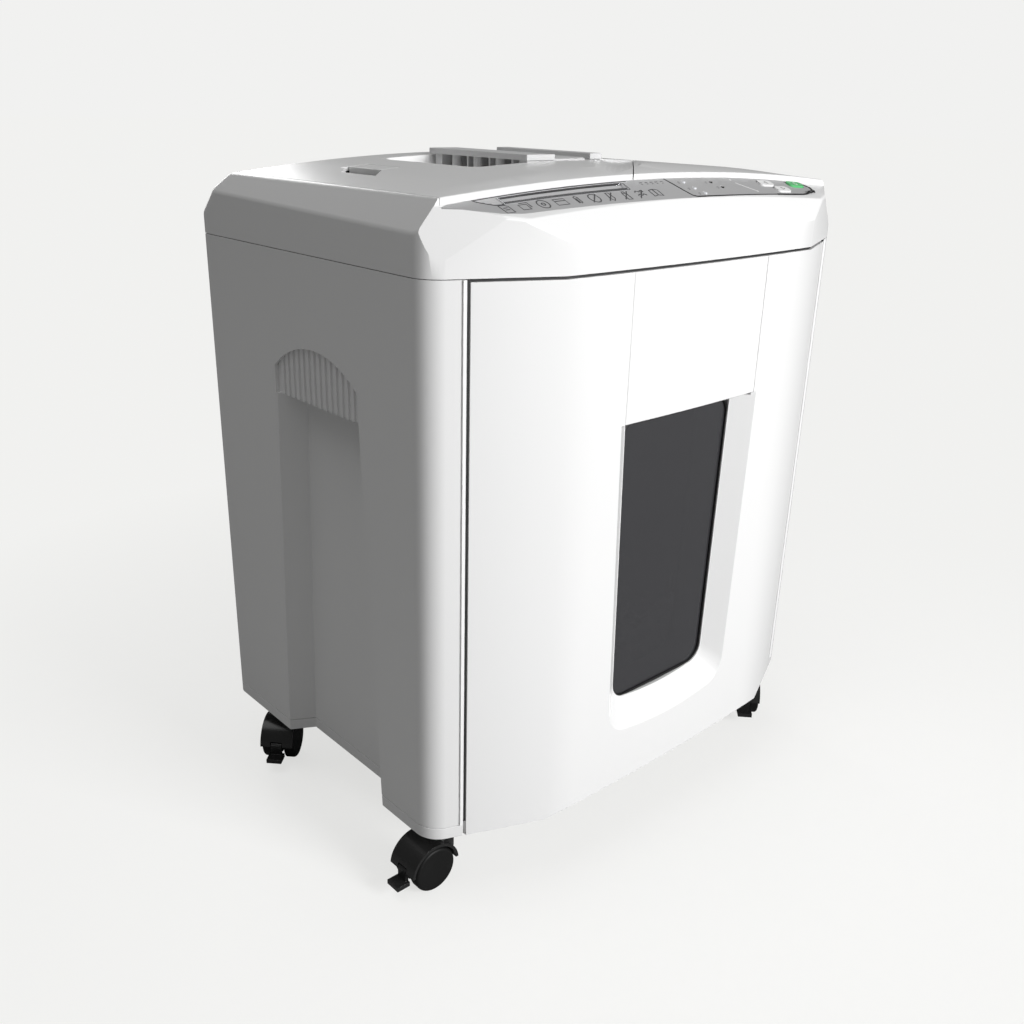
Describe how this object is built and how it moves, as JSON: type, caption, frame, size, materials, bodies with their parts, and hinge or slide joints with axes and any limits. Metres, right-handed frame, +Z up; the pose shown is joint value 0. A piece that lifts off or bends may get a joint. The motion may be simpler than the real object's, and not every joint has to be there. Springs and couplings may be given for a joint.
{
  "type": "paper shredder",
  "caption": "Free-standing paper shredder on swivel casters, with an automatic-feed lid, a sloping control strip and a pull-out waste bin with a smoked window.",
  "frame": {"origin": "on the floor under the middle of the bounding box", "axes": "+Z up, -Y out of the door at the front, +X to the right as seen from the front"},
  "size_m": [0.502, 0.342, 0.5515],
  "materials": {
    "white_shell": "fine satin moulded white",
    "light_grey_plastic": "satin light grey",
    "grey_panel": "smooth mid grey with printed icons",
    "white_key": "glossy white",
    "green_key": "glossy green",
    "lamp_lens": "clear lens",
    "smoked_pane": "smoked clear plastic",
    "tub_grey": "dark grey moulded",
    "bright_trim": "bright trim",
    "circuit_board": "solder resist",
    "black_plastic": "satin black",
    "gear_steel": "oiled cut steel",
    "roller_rubber": "matt rubber on a steel shaft",
    "zinc_sheet": "zinc-plated sheet",
    "motor_paint": "black painted steel",
    "steel": "machined steel"
  },
  "bodies": {
    "cabinet": {"base_moulding": "white_shell", "bin_runners": "black_plastic", "board_posts": "black_plastic", "cable_gland": "black_plastic", "case_screws": "steel", "control_board": "circuit_board", "control_strip": "grey_panel", "cutter_bushes": "steel", "drive_motor": "motor_paint", "front_stripper_comb": "black_plastic", "gear_bracket": "zinc_sheet", "head_cover": "white_shell", "indicator_lamps": "lamp_lens", "inner_deck": "zinc_sheet", "left_end_plate": "zinc_sheet", "left_side_panel": "white_shell", "lid_hinge_pins": "steel", "paper_tray": "black_plastic", "power_board": "circuit_board", "rear_panel": "white_shell", "rear_stripper_comb": "black_plastic", "right_end_plate": "zinc_sheet", "right_side_panel": "white_shell", "roller_hangers": "zinc_sheet", "slot_lip": "bright_trim", "tie_rods": "steel"},
    "feed_lid": {"feed_lid": "white_shell", "grip_dish": "white_shell", "grip_bridge": "light_grey_plastic", "latch_cup": "black_plastic", "presser_plate": "black_plastic"},
    "lid_latch": {"lid_latch": "white_shell"},
    "waste_bin": {"door_shell": "white_shell", "door_centre_panel": "white_shell", "window_pane": "smoked_pane", "waste_tub": "tub_grey"},
    "front_cutter": {"front_cutter_shaft": "steel", "front_cutter_gear": "gear_steel"},
    "rear_cutter": {"rear_cutter_shaft": "steel", "rear_cutter_gear": "gear_steel"},
    "reduction": {"reduction_gear": "gear_steel"},
    "motor_shaft": {"motor_pinion": "gear_steel"},
    "pickup": {"pickup_roller": "roller_rubber", "feed_gear": "gear_steel"},
    "reverse_button": {"reverse_button": "white_key"},
    "forward_button": {"forward_button": "white_key"},
    "power_button": {"power_button": "green_key"},
    "front_left_caster": {"front_left_caster_hood": "black_plastic"},
    "front_left_wheels": {"front_left_caster_wheels": "black_plastic"},
    "front_left_brake": {"front_left_caster_brake": "black_plastic"},
    "front_right_caster": {"front_right_caster_hood": "black_plastic"},
    "front_right_wheels": {"front_right_caster_wheels": "black_plastic"},
    "front_right_brake": {"front_right_caster_brake": "black_plastic"},
    "rear_left_caster": {"rear_left_caster_hood": "black_plastic"},
    "rear_left_wheels": {"rear_left_caster_wheels": "black_plastic"},
    "rear_left_brake": {"rear_left_caster_brake": "black_plastic"},
    "rear_right_caster": {"rear_right_caster_hood": "black_plastic"},
    "rear_right_wheels": {"rear_right_caster_wheels": "black_plastic"},
    "rear_right_brake": {"rear_right_caster_brake": "black_plastic"}
  },
  "joints": [
    {"name": "lid_hinge", "type": "hinge", "parent": "cabinet", "child": "feed_lid", "pos_m": [0, 0.1435, 0.5228], "axis": [-1, 0, 0], "range_deg": [0, 75]},
    {"name": "latch_slide", "type": "slide", "parent": "feed_lid", "child": "lid_latch", "axis": [-1, 0, 0], "range_m": [0, 0.007], "stiffness_N_per_m": 150, "springref_m": -0.002},
    {"name": "bin_slide", "type": "slide", "parent": "cabinet", "child": "waste_bin", "axis": [0, -1, 0], "range_m": [0, 0.26]},
    {"name": "front_cutter_spin", "type": "hinge", "parent": "cabinet", "child": "front_cutter", "pos_m": [0, -0.113, 0.448], "axis": [1, 0, 0], "continuous": true},
    {"name": "rear_cutter_spin", "type": "hinge", "parent": "cabinet", "child": "rear_cutter", "pos_m": [0, -0.077, 0.448], "axis": [1, 0, 0], "continuous": true},
    {"name": "reduction_spin", "type": "hinge", "parent": "cabinet", "child": "reduction", "pos_m": [0.128, -0.05, 0.448], "axis": [1, 0, 0], "continuous": true},
    {"name": "motor_spin", "type": "hinge", "parent": "cabinet", "child": "motor_shaft", "pos_m": [0.128, -0.005, 0.448], "axis": [1, 0, 0], "continuous": true},
    {"name": "pickup_spin", "type": "hinge", "parent": "cabinet", "child": "pickup", "pos_m": [0, -0.066, 0.48542], "axis": [1, 0, 0], "continuous": true},
    {"name": "reverse_press", "type": "slide", "parent": "cabinet", "child": "reverse_button", "axis": [0, 0, -1], "range_m": [0, 0.0012], "stiffness_N_per_m": 400, "springref_m": -0.0005},
    {"name": "forward_press", "type": "slide", "parent": "cabinet", "child": "forward_button", "axis": [0, 0, -1], "range_m": [0, 0.0012], "stiffness_N_per_m": 400, "springref_m": -0.0005},
    {"name": "power_press", "type": "slide", "parent": "cabinet", "child": "power_button", "axis": [0, 0, -1], "range_m": [0, 0.0012], "stiffness_N_per_m": 400, "springref_m": -0.0005},
    {"name": "front_left_swivel", "type": "hinge", "parent": "cabinet", "child": "front_left_caster", "pos_m": [-0.203, -0.11, 0.054], "axis": [0, 0, 1], "continuous": true},
    {"name": "front_left_roll", "type": "hinge", "parent": "front_left_caster", "child": "front_left_wheels", "pos_m": [-0.219, -0.11, 0.019], "axis": [0, 1, 0], "continuous": true},
    {"name": "front_left_pedal", "type": "hinge", "parent": "front_left_caster", "child": "front_left_brake", "pos_m": [-0.24, -0.11, 0.023], "axis": [0, 1, 0], "range_deg": [0, 15]},
    {"name": "front_right_swivel", "type": "hinge", "parent": "cabinet", "child": "front_right_caster", "pos_m": [0.203, -0.11, 0.054], "axis": [0, 0, 1], "continuous": true},
    {"name": "front_right_roll", "type": "hinge", "parent": "front_right_caster", "child": "front_right_wheels", "pos_m": [0.1913, -0.12091, 0.019], "axis": [-0.682, 0.7314, 0], "continuous": true},
    {"name": "front_right_pedal", "type": "hinge", "parent": "front_right_caster", "child": "front_right_brake", "pos_m": [0.17594, -0.13523, 0.023], "axis": [-0.682, 0.7314, 0], "range_deg": [0, 15]},
    {"name": "rear_left_swivel", "type": "hinge", "parent": "cabinet", "child": "rear_left_caster", "pos_m": [-0.203, 0.128, 0.054], "axis": [0, 0, 1], "continuous": true},
    {"name": "rear_left_roll", "type": "hinge", "parent": "rear_left_caster", "child": "rear_left_wheels", "pos_m": [-0.2147, 0.11709, 0.019], "axis": [-0.682, 0.7314, 0], "continuous": true},
    {"name": "rear_left_pedal", "type": "hinge", "parent": "rear_left_caster", "child": "rear_left_brake", "pos_m": [-0.23006, 0.10277, 0.023], "axis": [-0.682, 0.7314, 0], "range_deg": [0, 15]},
    {"name": "rear_right_swivel", "type": "hinge", "parent": "cabinet", "child": "rear_right_caster", "pos_m": [0.203, 0.128, 0.054], "axis": [0, 0, 1], "continuous": true},
    {"name": "rear_right_roll", "type": "hinge", "parent": "rear_right_caster", "child": "rear_right_wheels", "pos_m": [0.219, 0.128, 0.019], "axis": [0, -1, 0], "continuous": true},
    {"name": "rear_right_pedal", "type": "hinge", "parent": "rear_right_caster", "child": "rear_right_brake", "pos_m": [0.24, 0.128, 0.023], "axis": [0, -1, 0], "range_deg": [0, 15]}
  ],
  "couplings": [
    {"joint": "rear_cutter_spin", "follows": "front_cutter_spin", "ratio": -1},
    {"joint": "reduction_spin", "follows": "front_cutter_spin", "ratio": 2},
    {"joint": "motor_spin", "follows": "front_cutter_spin", "ratio": -8},
    {"joint": "pickup_spin", "follows": "front_cutter_spin", "ratio": 0.85714}
  ]
}
